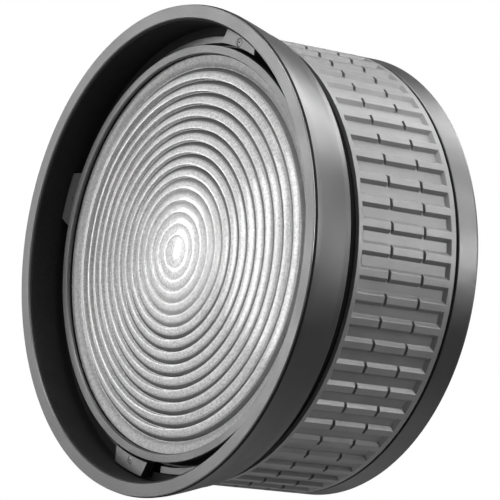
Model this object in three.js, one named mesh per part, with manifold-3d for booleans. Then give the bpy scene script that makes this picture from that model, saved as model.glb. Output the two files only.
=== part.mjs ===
// Zooming Fresnel lens head for a studio light, with a bayonet at the rear.
//
// The lens axis lies along Y and the front looks towards -Y, with +Z up.  The origin is the
// centre of the rear flange's seating face, the face that rests on the light.  All sizes are
// in millimetres.
//
// Turning the focus ring about the axis drives the lens carriage along it: three follower
// pins on the lens cell pass through straight slots in the fixed guide tube and end in
// helical slots in the focus ring's collar.

import * as THREE from 'three';
import { mergeVertices } from 'three/addons/utils/BufferGeometryUtils.js';
import Module from 'manifold-3d';

const wasm = await Module();
wasm.setup();

// ---------------------------------------------------------------------------------------
// Driving dimensions.  A station is a distance behind the rim's front face.
// ---------------------------------------------------------------------------------------

const SEAT_STATION = 126;          // rear flange's seating face
const GAP = 0.3;                   // between neighbouring pieces that move or are cut

const RIM_R = 121.5;               // front rim, outside
const RIM_BORE_R = 114.7;
const RIM_THICKNESS = 0.9;

const BARREL_FRONT = 1.3;          // front barrel, the smooth band behind the rim
const BARREL_R = 121.9;
const BARREL_REAR = 27.6;
const BARREL_REAR_R = 115.3;
const WELL_R = 113.9;              // matte wall around the lens well
const SHOULDER_FRONT = 21.2;       // inner shoulder that the clamp plates hold down

const GUIDE_FRONT = 20.5;          // guide tube
const GUIDE_REAR = 107;
const GUIDE_BORE_R = 105.5;
const GUIDE_WALL_R = 107.6;
const GUIDE_FLANGE_R = 109.2;
const GUIDE_FLANGE_REAR = 29.5;
const GUIDE_FOOT_FRONT = 102;
const GUIDE_FOOT_R = 102;

const GRIP_FRONT = 34.5;           // focus ring
const GRIP_REAR = 95.2;
const GRIP_R = 112.3;
const GRIP_BORE_R = 109.7;
const COLLAR_R = 109.4;
const COLLAR_BORE_R = 107.9;
const SEAL_BORE_R = 108.3;         // seal and washer at the focus ring's two ends
const SEAL_R = 110.6;
const RIB_COUNT = 60;
const POCKET_DEPTH = 2;
const POCKET_FRONT = 36.8;
const POCKET_REAR = 92.2;
const POCKET_SHARE = 0.71;         // pocket mouth's share of the pitch
const POCKET_SIDE_DRAFT = 1.7;
const POCKET_END_DRAFT = 1.7;

const HOUSING_FRONT = 96.9;        // rear housing
const HOUSING_R = 112.2;
const HOUSING_BORE_R = 109.4;
const HOUSING_BACK = 110.3;
const HOUSING_NECK_R = 84;
const HOUSING_END = 119.5;

const MOUNT_FLANGE_R = 80;         // rear mount ring
const MOUNT_NECK_R = 68.5;
const MOUNT_BORE_R = 64;
const MOUNT_END = 138;
const LUG_COUNT = 3;
const LUG_R = 75;
const LUG_THICKNESS = 2.8;
const LUG_WIDTH_DEG = 22;

const CELL_FRONT = 15.4;           // lens cell
const CELL_R = 103.7;
const CELL_BORE_R = 101.1;
const CELL_REAR = 54;
const LENS_POCKET_R = 101.8;
const SEAT_FRONT = 22;
const SEAT_BORE_R = 98.5;
const RETAINER_FRONT = 13.6;
const RETAINER_BORE_R = 99.3;
const GLIDE_STATIONS = [25, 46.8]; // low-friction bands round the cell
const GLIDE_WIDTH = 6;

const LENS_R = 101.5;              // lens, stepped at the front and flat at the back
const LENS_REAR = 20.8;
const LENS_EDGE_FRONT = 16.5;
const BULLSEYE_R = 7;
const BULLSEYE_RISE = 0.4;
const ZONE_COUNT = 14;
const ZONE_PITCH = 6.16;
const CREST_RIM_STATION = 15.8;    // crests lie on a shallow dome
const CREST_RISE = 6.3;
const STEP_INNER = 0.7;            // riser height at the first and the last zone
const STEP_OUTER = 3;

const CLAMP_COUNT = 4;             // clamp plates over the guide tube's front end
const CLAMP_FIRST_DEG = 15.5;
const CLAMP_FRONT = 15.2;
const CLAMP_REAR = 20.3;
const CLAMP_INNER_R = 105.2;
const CLAMP_OUTER_R = 112.8;
const CLAMP_INNER_HALF_DEG = 7.9;
const CLAMP_OUTER_HALF_DEG = 6.2;
const CLAMP_SCREW_R = 107.5;

const FOLLOWER_COUNT = 3;          // cam followers
const FOLLOWER_FIRST_DEG = 68.5;
const FOLLOWER_STATION = 42;
const SLOT_MOUTH_WIDTH = 13;       // where the straight slots run out at the tube's front end
const SLOT_MOUTH_DEPTH = 3.5;
const BUSH_R = 4;
const BUSH_BORE_R = 2.8;
const PIN_R = 2.5;
const TRAVEL = 45;                 // lens carriage, from front stop to rear stop
const TURN_DEG = 100;              // focus ring, for the whole travel

const SCREW_COUNT = 6;             // screws at the back
const HOUSING_SCREW_R = 105.5;
const HOUSING_SCREW_FIRST_DEG = 30;
const MOUNT_SCREW_R = 74.5;
const MOUNT_SCREW_FIRST_DEG = 30;

const FINE = 60;                   // facets round the rings that show
const COARSE = 32;                 // facets round the hidden rings
const SMALL = 12;                  // facets round screw heads, pins and bushes
const HOLE = 8;                    // facets round screw holes and shanks

// ---------------------------------------------------------------------------------------
// Helpers
// ---------------------------------------------------------------------------------------

const rad = THREE.MathUtils.degToRad;
const yAt = (station) => station - SEAT_STATION;

// A point at an angle measured from +Z towards +X, which is right-handed about +Y.
function ringPoint(radius, degrees, station) {
  return new THREE.Vector3(
    radius * Math.sin(rad(degrees)), yAt(station), radius * Math.cos(rad(degrees)));
}

function positionsOnly(geometry) {
  const bare = geometry.index ? geometry.clone() : geometry;
  bare.deleteAttribute('normal');
  bare.deleteAttribute('uv');
  return mergeVertices(bare, 1e-4);
}

function signedVolume(geometry) {
  const p = geometry.attributes.position;
  const index = geometry.index.array;
  const [a, b, c] = [new THREE.Vector3(), new THREE.Vector3(), new THREE.Vector3()];
  let volume = 0;
  for (let i = 0; i < index.length; i += 3) {
    a.fromBufferAttribute(p, index[i]);
    b.fromBufferAttribute(p, index[i + 1]);
    c.fromBufferAttribute(p, index[i + 2]);
    volume += a.dot(b.cross(c)) / 6;
  }
  return volume;
}

// A closed mesh with merged vertices and its faces turned outwards.
function closed(geometry) {
  const merged = positionsOnly(geometry);
  if (signedVolume(merged) < 0) {
    const index = merged.index.array;
    for (let i = 0; i < index.length; i += 3) {
      [index[i + 1], index[i + 2]] = [index[i + 2], index[i + 1]];
    }
  }
  return merged;
}

function toSolid(geometry) {
  const merged = closed(geometry);
  const mesh = new wasm.Mesh({
    numProp: 3,
    vertProperties: new Float32Array(merged.attributes.position.array),
    triVerts: new Uint32Array(merged.index.array),
  });
  return new wasm.Manifold(mesh);
}

function toGeometry(solid) {
  const mesh = solid.getMesh();
  const geometry = new THREE.BufferGeometry();
  geometry.setAttribute('position', new THREE.BufferAttribute(mesh.vertProperties, 3));
  geometry.setIndex(new THREE.BufferAttribute(mesh.triVerts, 1));
  return geometry;
}

function cut(geometry, tools) {
  let solid = toSolid(geometry);
  for (const tool of tools) {
    solid = solid.subtract(toSolid(tool));
  }
  return toGeometry(solid);
}

function join(geometry, others) {
  let solid = toSolid(geometry);
  for (const other of others) {
    solid = solid.add(toSolid(other));
  }
  return toGeometry(solid);
}

// A ring turned about the axis from a closed outline of [radius, station] points.
function turned(outline, facets) {
  const points = outline.map(([radius, station]) => new THREE.Vector2(radius, yAt(station)));
  const onAxis = outline[0][0] === 0;
  return new THREE.LatheGeometry(onAxis ? points : [...points, points[0]], facets);
}

function plainRing(bore, outside, front, rear, facets) {
  return turned([[bore, front], [outside, front], [outside, rear], [bore, rear]], facets);
}

// A solid through a row of sections, each a loop of the same number of points.
function loft(sections) {
  const count = sections[0].length;
  const vertices = sections.flat();
  const index = [];
  for (let s = 0; s + 1 < sections.length; s += 1) {
    for (let i = 0; i < count; i += 1) {
      const a = s * count + i;
      const b = s * count + (i + 1) % count;
      index.push(a, b, b + count, a, b + count, a + count);
    }
  }
  const last = (sections.length - 1) * count;
  for (let i = 1; i + 1 < count; i += 1) {
    index.push(0, i + 1, i);
    index.push(last, last + i, last + i + 1);
  }
  const geometry = new THREE.BufferGeometry().setFromPoints(vertices);
  geometry.setIndex(index);
  return geometry;
}

// A round bar along the axis direction at one place on a bolt circle.
function axialBar(barRadius, boltRadius, degrees, front, rear, facets = SMALL) {
  const bar = new THREE.CylinderGeometry(barRadius, barRadius, rear - front, facets);
  const centre = ringPoint(boltRadius, degrees, (front + rear) / 2);
  return bar.translate(centre.x, centre.y, centre.z);
}

// A round bar that points outwards from the axis.
function radialBar(barRadius, inner, outer, degrees, station, facets = SMALL) {
  const bar = new THREE.CylinderGeometry(barRadius, barRadius, outer - inner, facets);
  bar.rotateX(Math.PI / 2);
  bar.translate(0, yAt(station), (inner + outer) / 2);
  return bar.rotateY(rad(degrees));
}

// A box whose length lies along the axis and whose height points outwards.
function radialBox(width, inner, outer, front, rear, degrees) {
  const box = new THREE.BoxGeometry(width, rear - front, outer - inner);
  box.translate(0, yAt((front + rear) / 2), (inner + outer) / 2);
  return box.rotateY(rad(degrees));
}

const spread = (count, first = 0) => Array.from({ length: count }, (_, i) => first + i * 360 / count);

const FOLLOWER_ANGLES = spread(FOLLOWER_COUNT, FOLLOWER_FIRST_DEG);
const CLAMP_ANGLES = spread(CLAMP_COUNT, CLAMP_FIRST_DEG);
const HOUSING_SCREW_ANGLES = spread(SCREW_COUNT, HOUSING_SCREW_FIRST_DEG);
const MOUNT_SCREW_ANGLES = spread(SCREW_COUNT, MOUNT_SCREW_FIRST_DEG);

// ---------------------------------------------------------------------------------------
// Materials
// ---------------------------------------------------------------------------------------

function finish(color, roughness, metalness) {
  return () => new THREE.MeshStandardMaterial({ color, roughness, metalness });
}

const satinBlack = finish(0x2b2b2d, 0.38, 0.7);
const matteBlack = finish(0x0d0d0e, 0.85, 0.1);
const satinGrey = finish(0x6a6b6d, 0.45, 0.6);
const blackSteel = finish(0x3c3c3e, 0.35, 0.9);
const brightSteel = finish(0xb4b5b8, 0.3, 1);
const gripRubber = finish(0x4c4d4f, 0.7, 0);
const darkRubber = finish(0x151515, 0.9, 0);
const darkPolymer = finish(0x1b1b1c, 0.55, 0);

function glass() {
  return new THREE.MeshStandardMaterial({
    color: 0xe8edf0, roughness: 0.12, metalness: 0, transparent: true, opacity: 0.5,
  });
}

const model = new THREE.Group();
model.name = 'fresnel_lens_head';

function addPiece(name, geometry, material) {
  const piece = new THREE.Mesh(closed(geometry), material());
  piece.name = name;
  model.add(piece);
}

// ---------------------------------------------------------------------------------------
// Fixed housing, front
// ---------------------------------------------------------------------------------------

function frontRim() {
  const neckR = 119.6;
  const neckRear = BARREL_FRONT - 0.1;
  return turned([
    [RIM_BORE_R, 0], [RIM_R, 0], [RIM_R, RIM_THICKNESS], [neckR, RIM_THICKNESS],
    [neckR, neckRear], [RIM_BORE_R, neckRear],
  ], FINE);
}

// The outside falls from the front edge to the rear edge in a shallow curve.
function barrelOutline() {
  const chamfer = 0.7;
  const crownStation = 3;
  const steps = 3;
  const points = [[BARREL_R - chamfer, BARREL_FRONT], [BARREL_R, BARREL_FRONT + chamfer]];
  const rearRound = 1.6;
  for (let i = 1; i <= steps; i += 1) {
    const t = i / steps;
    const station = crownStation + (BARREL_REAR - rearRound - crownStation) * t;
    const fall = (BARREL_R - BARREL_REAR_R) * (0.85 * t + 0.15 * t * t);
    points.push([BARREL_R - fall, station]);
  }
  points.push([BARREL_REAR_R - rearRound, BARREL_REAR]);
  return points;
}

function frontBarrel() {
  const shoulderR = GUIDE_FLANGE_R + GAP;
  return turned([
    [WELL_R, BARREL_FRONT], ...barrelOutline(),
    [shoulderR, BARREL_REAR], [shoulderR, SHOULDER_FRONT], [WELL_R, SHOULDER_FRONT],
  ], FINE);
}

function guideTube() {
  const tube = turned([
    [GUIDE_BORE_R, GUIDE_FRONT], [GUIDE_FLANGE_R, GUIDE_FRONT],
    [GUIDE_FLANGE_R, GUIDE_FLANGE_REAR], [GUIDE_WALL_R, GUIDE_FLANGE_REAR],
    [GUIDE_WALL_R, GUIDE_FOOT_FRONT], [GUIDE_FLANGE_R - GAP, GUIDE_FOOT_FRONT],
    [GUIDE_FLANGE_R - GAP, GUIDE_REAR], [GUIDE_FOOT_R, GUIDE_REAR],
    [GUIDE_FOOT_R, GUIDE_FOOT_FRONT], [GUIDE_BORE_R, GUIDE_FOOT_FRONT],
  ], FINE);
  const slotWidth = 2 * (BUSH_R + GAP);
  const slotRear = FOLLOWER_STATION + TRAVEL + BUSH_R + 2 * GAP;
  const slots = FOLLOWER_ANGLES.map((angle) => radialBox(
    slotWidth, GUIDE_FOOT_R, GUIDE_FLANGE_R + 1, GUIDE_FRONT - 1, slotRear, angle));
  const slotMouths = FOLLOWER_ANGLES.map((angle) => radialBox(
    SLOT_MOUTH_WIDTH, GUIDE_FOOT_R, GUIDE_FLANGE_R + 1,
    GUIDE_FRONT - 1, GUIDE_FRONT + SLOT_MOUTH_DEPTH, angle));
  const clampHoles = CLAMP_ANGLES.map((angle) => axialBar(
    1.5, CLAMP_SCREW_R, angle, GUIDE_FRONT - 1, GUIDE_FRONT + 7.5, HOLE));
  const footHoles = HOUSING_SCREW_ANGLES.map((angle) => axialBar(
    1.8, HOUSING_SCREW_R, angle, GUIDE_REAR - 4, GUIDE_REAR + 1, HOLE));
  return cut(tube, [...slots, ...slotMouths, ...clampHoles, ...footHoles]);
}

// A plate that spans the guide tube's front end and the barrel's inner shoulder.
function clampPlate(angle) {
  const halfSteps = [-1, -0.5, 0, 0.5, 1];
  const loop = (station) => [
    ...halfSteps.map((s) => ringPoint(CLAMP_OUTER_R, angle + s * CLAMP_OUTER_HALF_DEG, station)),
    ...halfSteps.map((s) => ringPoint(CLAMP_INNER_R, angle - s * CLAMP_INNER_HALF_DEG, station)),
  ];
  const plate = loft([loop(CLAMP_FRONT), loop(CLAMP_REAR)]);
  const throughHole = axialBar(1.5, CLAMP_SCREW_R, angle, CLAMP_FRONT - 1, CLAMP_REAR + 1, HOLE);
  const headSeat = axialBar(2.25, CLAMP_SCREW_R + 0.15, angle, CLAMP_FRONT - 1, CLAMP_FRONT + 1.5, SMALL);
  return cut(plate, [throughHole, headSeat]);
}

function clampScrew(angle) {
  const head = axialBar(2, CLAMP_SCREW_R + 0.15, angle, CLAMP_FRONT + 0.05, CLAMP_FRONT + 1.3, SMALL);
  const shank = axialBar(1.2, CLAMP_SCREW_R, angle, CLAMP_FRONT + 1, GUIDE_FRONT + 7, HOLE);
  const recess = axialBar(0.65, CLAMP_SCREW_R + 0.15, angle, CLAMP_FRONT - 1, CLAMP_FRONT + 0.8, 6);
  return cut(join(head, [shank]), [recess]);
}

// A ring with a lip that reaches over the guide tube's flange as far as the barrel, so that
// no light escapes through the straight slots.
function frontDustSeal() {
  const lipBoreR = GUIDE_FLANGE_R + GAP;
  const lipRear = GUIDE_FLANGE_REAR + GAP;
  return turned([
    [lipBoreR, BARREL_REAR + GAP], [SEAL_R, BARREL_REAR + GAP], [SEAL_R, GRIP_FRONT - GAP],
    [SEAL_BORE_R, GRIP_FRONT - GAP], [SEAL_BORE_R, lipRear], [lipBoreR, lipRear],
  ], FINE);
}

function addFrontHousing() {
  addPiece('front_rim', frontRim(), satinGrey);
  addPiece('front_barrel', frontBarrel(), satinBlack);
  addPiece('guide_tube', guideTube(), satinGrey);
  CLAMP_ANGLES.forEach((angle, i) => {
    addPiece(`clamp_plate_${i + 1}`, clampPlate(angle), satinGrey);
    addPiece(`clamp_screw_${i + 1}`, clampScrew(angle), blackSteel);
  });
  addPiece('front_dust_seal', frontDustSeal(), darkRubber);
}

// ---------------------------------------------------------------------------------------
// Fixed housing, rear
// ---------------------------------------------------------------------------------------

function rearHousing() {
  const wall = 2.8;
  const corner = 2;
  const shelfR = 100;
  const inside = HOUSING_BACK - wall;
  const coneRear = HOUSING_END - 2.5;
  const shell = turned([
    [HOUSING_BORE_R, HOUSING_FRONT], [HOUSING_R, HOUSING_FRONT],
    [HOUSING_R, HOUSING_BACK - corner], [HOUSING_R - corner, HOUSING_BACK],
    [shelfR, HOUSING_BACK], [HOUSING_NECK_R, coneRear], [HOUSING_NECK_R, HOUSING_END],
    [MOUNT_BORE_R, HOUSING_END], [MOUNT_BORE_R, HOUSING_END - wall],
    [HOUSING_NECK_R - wall, HOUSING_END - wall], [shelfR - 2, inside], [HOUSING_BORE_R, inside],
  ], FINE);
  const tubeHoles = HOUSING_SCREW_ANGLES.map((angle) => axialBar(
    1.8, HOUSING_SCREW_R, angle, HOUSING_BACK - 6, HOUSING_BACK + 1, HOLE));
  const mountHoles = MOUNT_SCREW_ANGLES.map((angle) => axialBar(
    2.3, MOUNT_SCREW_R, angle, HOUSING_END - 6, HOUSING_END + 1, HOLE));
  return cut(shell, [...tubeHoles, ...mountHoles]);
}

// A button head with a hexagon socket, on a shank that points forwards.
function buttonScrew(angle, boltR, face, headR, headHeight, shankR, depth) {
  const head = axialBar(headR, boltR, angle, face + 0.05, face + headHeight, SMALL);
  const shank = axialBar(shankR, boltR, angle, face - depth, face + 1, HOLE);
  const socket = axialBar(headR * 0.5, boltR, angle, face + headHeight - 1.2, face + headHeight + 1, 6);
  return cut(join(head, [shank]), [socket]);
}

// A flat head, flush with the face that it is let into.
function flushScrew(angle, boltR, face, headR, headHeight, shankR, depth) {
  const head = axialBar(headR, boltR, angle, face - headHeight, face - 0.15, SMALL);
  const shank = axialBar(shankR, boltR, angle, face - depth, face - headHeight + 0.5, HOLE);
  const socket = axialBar(headR * 0.45, boltR, angle, face - 1.3, face + 1, 6);
  return cut(join(head, [shank]), [socket]);
}

function lug(angle) {
  const steps = [0, 1 / 3, 2 / 3, 1];
  const sections = steps.map((t) => {
    const degrees = angle + (t - 0.5) * LUG_WIDTH_DEG;
    return [
      ringPoint(MOUNT_NECK_R - 1.5, degrees, MOUNT_END - LUG_THICKNESS),
      ringPoint(LUG_R, degrees, MOUNT_END - LUG_THICKNESS),
      ringPoint(LUG_R, degrees, MOUNT_END),
      ringPoint(MOUNT_NECK_R - 1.5, degrees, MOUNT_END),
    ];
  });
  return loft(sections);
}

function mountRing() {
  const front = HOUSING_END + 0.1;
  const body = turned([
    [MOUNT_BORE_R, front], [MOUNT_FLANGE_R, front],
    [MOUNT_FLANGE_R, SEAT_STATION], [MOUNT_NECK_R, SEAT_STATION],
    [MOUNT_NECK_R, MOUNT_END], [MOUNT_BORE_R, MOUNT_END],
  ], FINE);
  const lugs = spread(LUG_COUNT).map(lug);
  const headSeats = MOUNT_SCREW_ANGLES.map((angle) => axialBar(
    3.8, MOUNT_SCREW_R, angle, SEAT_STATION - 2.4, SEAT_STATION + 1, SMALL));
  const holes = MOUNT_SCREW_ANGLES.map((angle) => axialBar(
    2.3, MOUNT_SCREW_R, angle, front - 1, SEAT_STATION, HOLE));
  const lockNotch = radialBox(7, MOUNT_FLANGE_R - 4, MOUNT_FLANGE_R + 3, front - 1, SEAT_STATION + 1, 180);
  return cut(join(body, lugs), [...headSeats, ...holes, lockNotch]);
}

// A thin cone that keeps stray light off the mechanism.
function lightBaffle() {
  const wall = 1.2;
  const front = [97, 101];
  const rear = [66, HOUSING_END - 3.6];
  return turned([
    [front[0] - wall, front[1]], front, [front[0], front[1] + 1.5],
    [rear[0] + wall, rear[1]], rear,
  ], COARSE);
}

function addRearHousing() {
  addPiece('rear_thrust_washer', plainRing(
    SEAL_BORE_R, SEAL_R, GRIP_REAR + GAP, HOUSING_FRONT - GAP, COARSE), darkPolymer);
  addPiece('rear_housing', rearHousing(), satinBlack);
  addPiece('light_baffle', lightBaffle(), matteBlack);
  addPiece('mount_ring', mountRing(), brightSteel);
  HOUSING_SCREW_ANGLES.forEach((angle, i) => addPiece(
    `housing_screw_${i + 1}`,
    buttonScrew(angle, HOUSING_SCREW_R, HOUSING_BACK, 2.8, 1.3, 1.45, 7), blackSteel));
  MOUNT_SCREW_ANGLES.forEach((angle, i) => addPiece(
    `mount_screw_${i + 1}`,
    flushScrew(angle, MOUNT_SCREW_R, SEAT_STATION, 3.5, 2.2, 2, 9), blackSteel));
}

// ---------------------------------------------------------------------------------------
// Focus ring
// ---------------------------------------------------------------------------------------

// A helical cutter that follows a pin's path as seen from the turning ring.
function helicalCutter(startAngle) {
  const meanR = (COLLAR_R + COLLAR_BORE_R) / 2;
  const slope = TRAVEL / (rad(TURN_DEG) * meanR);
  const halfWidth = (BUSH_R + GAP) * Math.hypot(1, slope);
  const endDeg = THREE.MathUtils.radToDeg((BUSH_R + 2 * GAP) / meanR);
  const steps = 14;
  const sections = [];
  for (let i = 0; i <= steps; i += 1) {
    const turn = -endDeg + (TURN_DEG + 2 * endDeg) * i / steps;
    const station = FOLLOWER_STATION + TRAVEL * turn / TURN_DEG;
    const degrees = startAngle - turn;
    sections.push([
      ringPoint(COLLAR_BORE_R - 1, degrees, station - halfWidth),
      ringPoint(COLLAR_R + 1, degrees, station - halfWidth),
      ringPoint(COLLAR_R + 1, degrees, station + halfWidth),
      ringPoint(COLLAR_BORE_R - 1, degrees, station + halfWidth),
    ]);
  }
  return loft(sections);
}

function focusCollar() {
  const ring = plainRing(COLLAR_BORE_R, COLLAR_R, GRIP_FRONT + 0.4, GRIP_REAR - 0.2, FINE);
  return cut(ring, FOLLOWER_ANGLES.map(helicalCutter));
}

// A tapered plug that presses one pocket into the grip.
function pocketPlug(angle) {
  const pitch = 360 / RIB_COUNT;
  const floorHalf = pitch * POCKET_SHARE / 2 - THREE.MathUtils.radToDeg(POCKET_SIDE_DRAFT / GRIP_R);
  const over = 0.5;
  const grow = 1 + over / POCKET_DEPTH;
  const rectangle = (radius, half, front, rear) => [
    ringPoint(radius, angle - half, front), ringPoint(radius, angle + half, front),
    ringPoint(radius, angle + half, rear), ringPoint(radius, angle - half, rear),
  ];
  const draftDeg = THREE.MathUtils.radToDeg(POCKET_SIDE_DRAFT / GRIP_R) * grow;
  return loft([
    rectangle(GRIP_R - POCKET_DEPTH, floorHalf,
      POCKET_FRONT + POCKET_END_DRAFT, POCKET_REAR - POCKET_END_DRAFT),
    rectangle(GRIP_R + over, floorHalf + draftDeg,
      POCKET_FRONT + POCKET_END_DRAFT * (1 - grow), POCKET_REAR - POCKET_END_DRAFT * (1 - grow)),
  ]);
}

function gripSleeve() {
  const ring = plainRing(GRIP_BORE_R, GRIP_R, GRIP_FRONT, GRIP_REAR, 2 * RIB_COUNT);
  return cut(ring, spread(RIB_COUNT).map(pocketPlug));
}

function addFocusRing() {
  addPiece('focus_collar', focusCollar(), satinGrey);
  addPiece('grip_sleeve', gripSleeve(), gripRubber);
}

// ---------------------------------------------------------------------------------------
// Lens carriage
// ---------------------------------------------------------------------------------------

function lensCell() {
  const cell = turned([
    [LENS_POCKET_R, CELL_FRONT], [CELL_R, CELL_FRONT], [CELL_R, CELL_REAR],
    [CELL_BORE_R, CELL_REAR], [CELL_BORE_R, SEAT_FRONT + 2.5], [SEAT_BORE_R, SEAT_FRONT + 2.5],
    [SEAT_BORE_R, SEAT_FRONT], [LENS_POCKET_R, SEAT_FRONT],
  ], COARSE);
  const pinHoles = FOLLOWER_ANGLES.map((angle) => radialBar(
    PIN_R + GAP, CELL_BORE_R - 2, CELL_R + 2, angle, FOLLOWER_STATION));
  return cut(cell, pinHoles);
}

// Crest height of the stepped face at a radius: the crests lie on a shallow dome.
function crestStation(radius) {
  const outerR = BULLSEYE_R + ZONE_COUNT * ZONE_PITCH;
  return CREST_RIM_STATION - CREST_RISE * (1 - (radius / outerR) ** 2);
}

function fresnelLens() {
  const outline = [[0, LENS_REAR], [LENS_R, LENS_REAR], [LENS_R, LENS_EDGE_FRONT]];
  const outerR = BULLSEYE_R + ZONE_COUNT * ZONE_PITCH;
  outline.push([outerR + 2.5, LENS_EDGE_FRONT]);
  for (let zone = ZONE_COUNT; zone >= 1; zone -= 1) {
    const inner = BULLSEYE_R + (zone - 1) * ZONE_PITCH;
    const step = STEP_INNER + (STEP_OUTER - STEP_INNER) * zone / ZONE_COUNT;
    const footR = inner + ZONE_PITCH - 0.1;
    const footStation = Math.min(crestStation(footR) + step, LENS_EDGE_FRONT + 1.6);
    outline.push([footR, footStation], [inner + 0.35, crestStation(inner)]);
  }
  outline.push([BULLSEYE_R - 0.1, crestStation(BULLSEYE_R) + STEP_INNER]);
  outline.push([BULLSEYE_R * 0.6, crestStation(0)]);
  outline.push([0, crestStation(0) - BULLSEYE_RISE]);
  return turned(outline, COARSE);
}

function retainingRing() {
  return plainRing(RETAINER_BORE_R, CELL_R, RETAINER_FRONT, CELL_FRONT - 0.1, FINE);
}

function followerBush(angle) {
  const inner = CELL_R + GAP;
  const outer = COLLAR_R - 0.1;
  const bush = radialBar(BUSH_R, inner, outer, angle, FOLLOWER_STATION);
  const bore = radialBar(BUSH_BORE_R, inner - 1, outer + 1, angle, FOLLOWER_STATION);
  return cut(bush, [bore]);
}

function addLensCarriage() {
  addPiece('lens_cell', lensCell(), matteBlack);
  addPiece('fresnel_lens', fresnelLens(), glass);
  addPiece('retaining_ring', retainingRing(), satinGrey);
  addPiece('front_lens_gasket', plainRing(RETAINER_BORE_R - 0.2, LENS_R, CELL_FRONT + 0.1,
    LENS_EDGE_FRONT - 0.1, COARSE), darkRubber);
  addPiece('rear_lens_gasket', plainRing(SEAT_BORE_R, LENS_R, LENS_REAR + 0.1,
    SEAT_FRONT - 0.1, COARSE), darkRubber);
  GLIDE_STATIONS.forEach((station, i) => addPiece(`glide_band_${i + 1}`, plainRing(
    CELL_R + GAP, GUIDE_BORE_R - GAP, station, station + GLIDE_WIDTH, COARSE), darkPolymer));
  FOLLOWER_ANGLES.forEach((angle, i) => {
    addPiece(`follower_pin_${i + 1}`, radialBar(
      PIN_R, CELL_BORE_R + 0.4, COLLAR_R - 0.1, angle, FOLLOWER_STATION), brightSteel);
    addPiece(`follower_bush_${i + 1}`, followerBush(angle), darkPolymer);
  });
}

addFrontHousing();
addRearHousing();
addFocusRing();
addLensCarriage();

export default model;
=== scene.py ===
"""Looks of a zooming Fresnel lens head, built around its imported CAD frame.

The lens axis lies along Y and the front looks towards -Y.  A station is a distance behind
the rim's front face, and stations and radii are in millimetres until a point is placed.
"""

import math

import bmesh
import bpy
from mathutils import Matrix, Quaternion, Vector


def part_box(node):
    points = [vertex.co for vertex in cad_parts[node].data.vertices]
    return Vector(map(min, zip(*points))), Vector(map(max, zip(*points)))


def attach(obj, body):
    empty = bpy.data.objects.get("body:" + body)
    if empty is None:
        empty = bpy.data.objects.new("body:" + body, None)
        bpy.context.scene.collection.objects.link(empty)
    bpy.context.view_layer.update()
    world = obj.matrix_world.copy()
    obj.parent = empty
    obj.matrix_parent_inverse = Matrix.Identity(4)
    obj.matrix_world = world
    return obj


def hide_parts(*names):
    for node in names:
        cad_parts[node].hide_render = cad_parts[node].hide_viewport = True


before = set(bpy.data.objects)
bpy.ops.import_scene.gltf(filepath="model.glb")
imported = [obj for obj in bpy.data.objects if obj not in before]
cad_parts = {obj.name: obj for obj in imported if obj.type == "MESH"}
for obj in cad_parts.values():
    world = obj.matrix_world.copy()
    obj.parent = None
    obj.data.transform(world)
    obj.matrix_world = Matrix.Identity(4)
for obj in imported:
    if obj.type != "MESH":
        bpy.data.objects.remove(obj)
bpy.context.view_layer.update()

# Driving dimensions -----------------------------------------------------------------

MM = 0.001
FRONT_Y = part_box("front_rim")[0].y
ROUND = 240            # facets round a ring that shows
HOLE = 40              # facets round a small hole or screw head
SHARP = math.radians(32)

RIB_COUNT = 60         # focus ring's grip
GRIP_WALL = 2.6        # from a rib's top to the bore
POCKET_SHARE = 0.71    # pocket mouth's share of the pitch
POCKET_DEPTH = 1.9
POCKET_SIDE_DRAFT = 1.7
POCKET_MARGINS = (2.3, 3.0)
POCKET_END_DRAFT = 1.7
NOTCH_STATIONS = (55.0, 75.4)
NOTCH_WIDTH = 1.5

ZONE_COUNT = 14        # lens
BULLSEYE_R = 8.0
BULLSEYE_RISE = 0.4
ZONES_R = 93.3
FIRST_PITCH = 5.75
CREST_RIM_STATION = 15.8
CREST_RISE = 6.2
STEP_INNER = 0.7       # height of the step behind the first zone, and behind the last
STEP_OUTER = 3.0
LENS_EDGE_FRONT = 16.5
ZONE_BEND = (FIRST_PITCH * ZONE_COUNT - (ZONES_R - BULLSEYE_R)) / ZONE_COUNT ** 2
ZONE_FADE = (0.008, 0.042)     # radii in metres over which the zones' painted highlight and shade, and their roughness, build up
# painted highlight at each zone's crest and riser and painted shade at its foot, as greys that
# multiply the glass's colour
ZONE_PAINTED_LIGHT_AND_SHADE = [(0.0, 0.90), (0.06, 1.0), (0.22, 0.86), (0.48, 0.80), (0.60, 0.45), (0.68, 0.10),
               (0.945, 0.03), (0.96, 0.95)]
ZONE_ROUGHNESS = [(0.0, 0.06), (0.08, 0.12), (0.54, 0.14), (0.66, 0.60), (0.945, 0.60),
                  (0.96, 0.08)]

CELL_POCKET_R = 101.8  # lens cell
CELL_BORE_R = 101.1
CELL_LIP_R = 98.5
CELL_LIP_FRONT = 22.0
CELL_LIP_REAR = 24.5

SHOULDER_FRONT = 21.2  # barrel's inner shoulder, under the clamp plates
FLANGE_REAR = 29.5     # guide tube's front flange
FOOT_FRONT = 102.0     # guide tube's foot, which the rear housing is screwed to
FOOT_R = 102.0
SLOT_COUNT = 3         # straight slots in the guide tube
SLOT_FIRST_DEG = 68.5
SLOT_WIDTH = 8.6
SLOT_REAR = 91.6
SLOT_MOUTH_WIDTH = 13
SLOT_MOUTH_DEPTH = 3.5

CLAMP_COUNT = 4        # clamp plates
CLAMP_FIRST_DEG = 15.5
CLAMP_FRONT = 15.2
CLAMP_REAR = 20.3
CLAMP_OUTER = (112.8, 6.2)   # radius and half width in degrees
CLAMP_INNER = (105.2, 7.9)
CLAMP_SCREW_R = 107.65

SCREW_COUNT = 6        # screws at the back, in each of two circles
SCREW_FIRST_DEG = 30
HOUSING_SCREW_R = 105.5
MOUNT_SCREW_R = 74.5

HOUSING_WALL = 2.8     # rear housing
HOUSING_BACK = 110.3
HOUSING_SHELF_R = 100.0
HOUSING_NECK_R = 84.0

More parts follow.
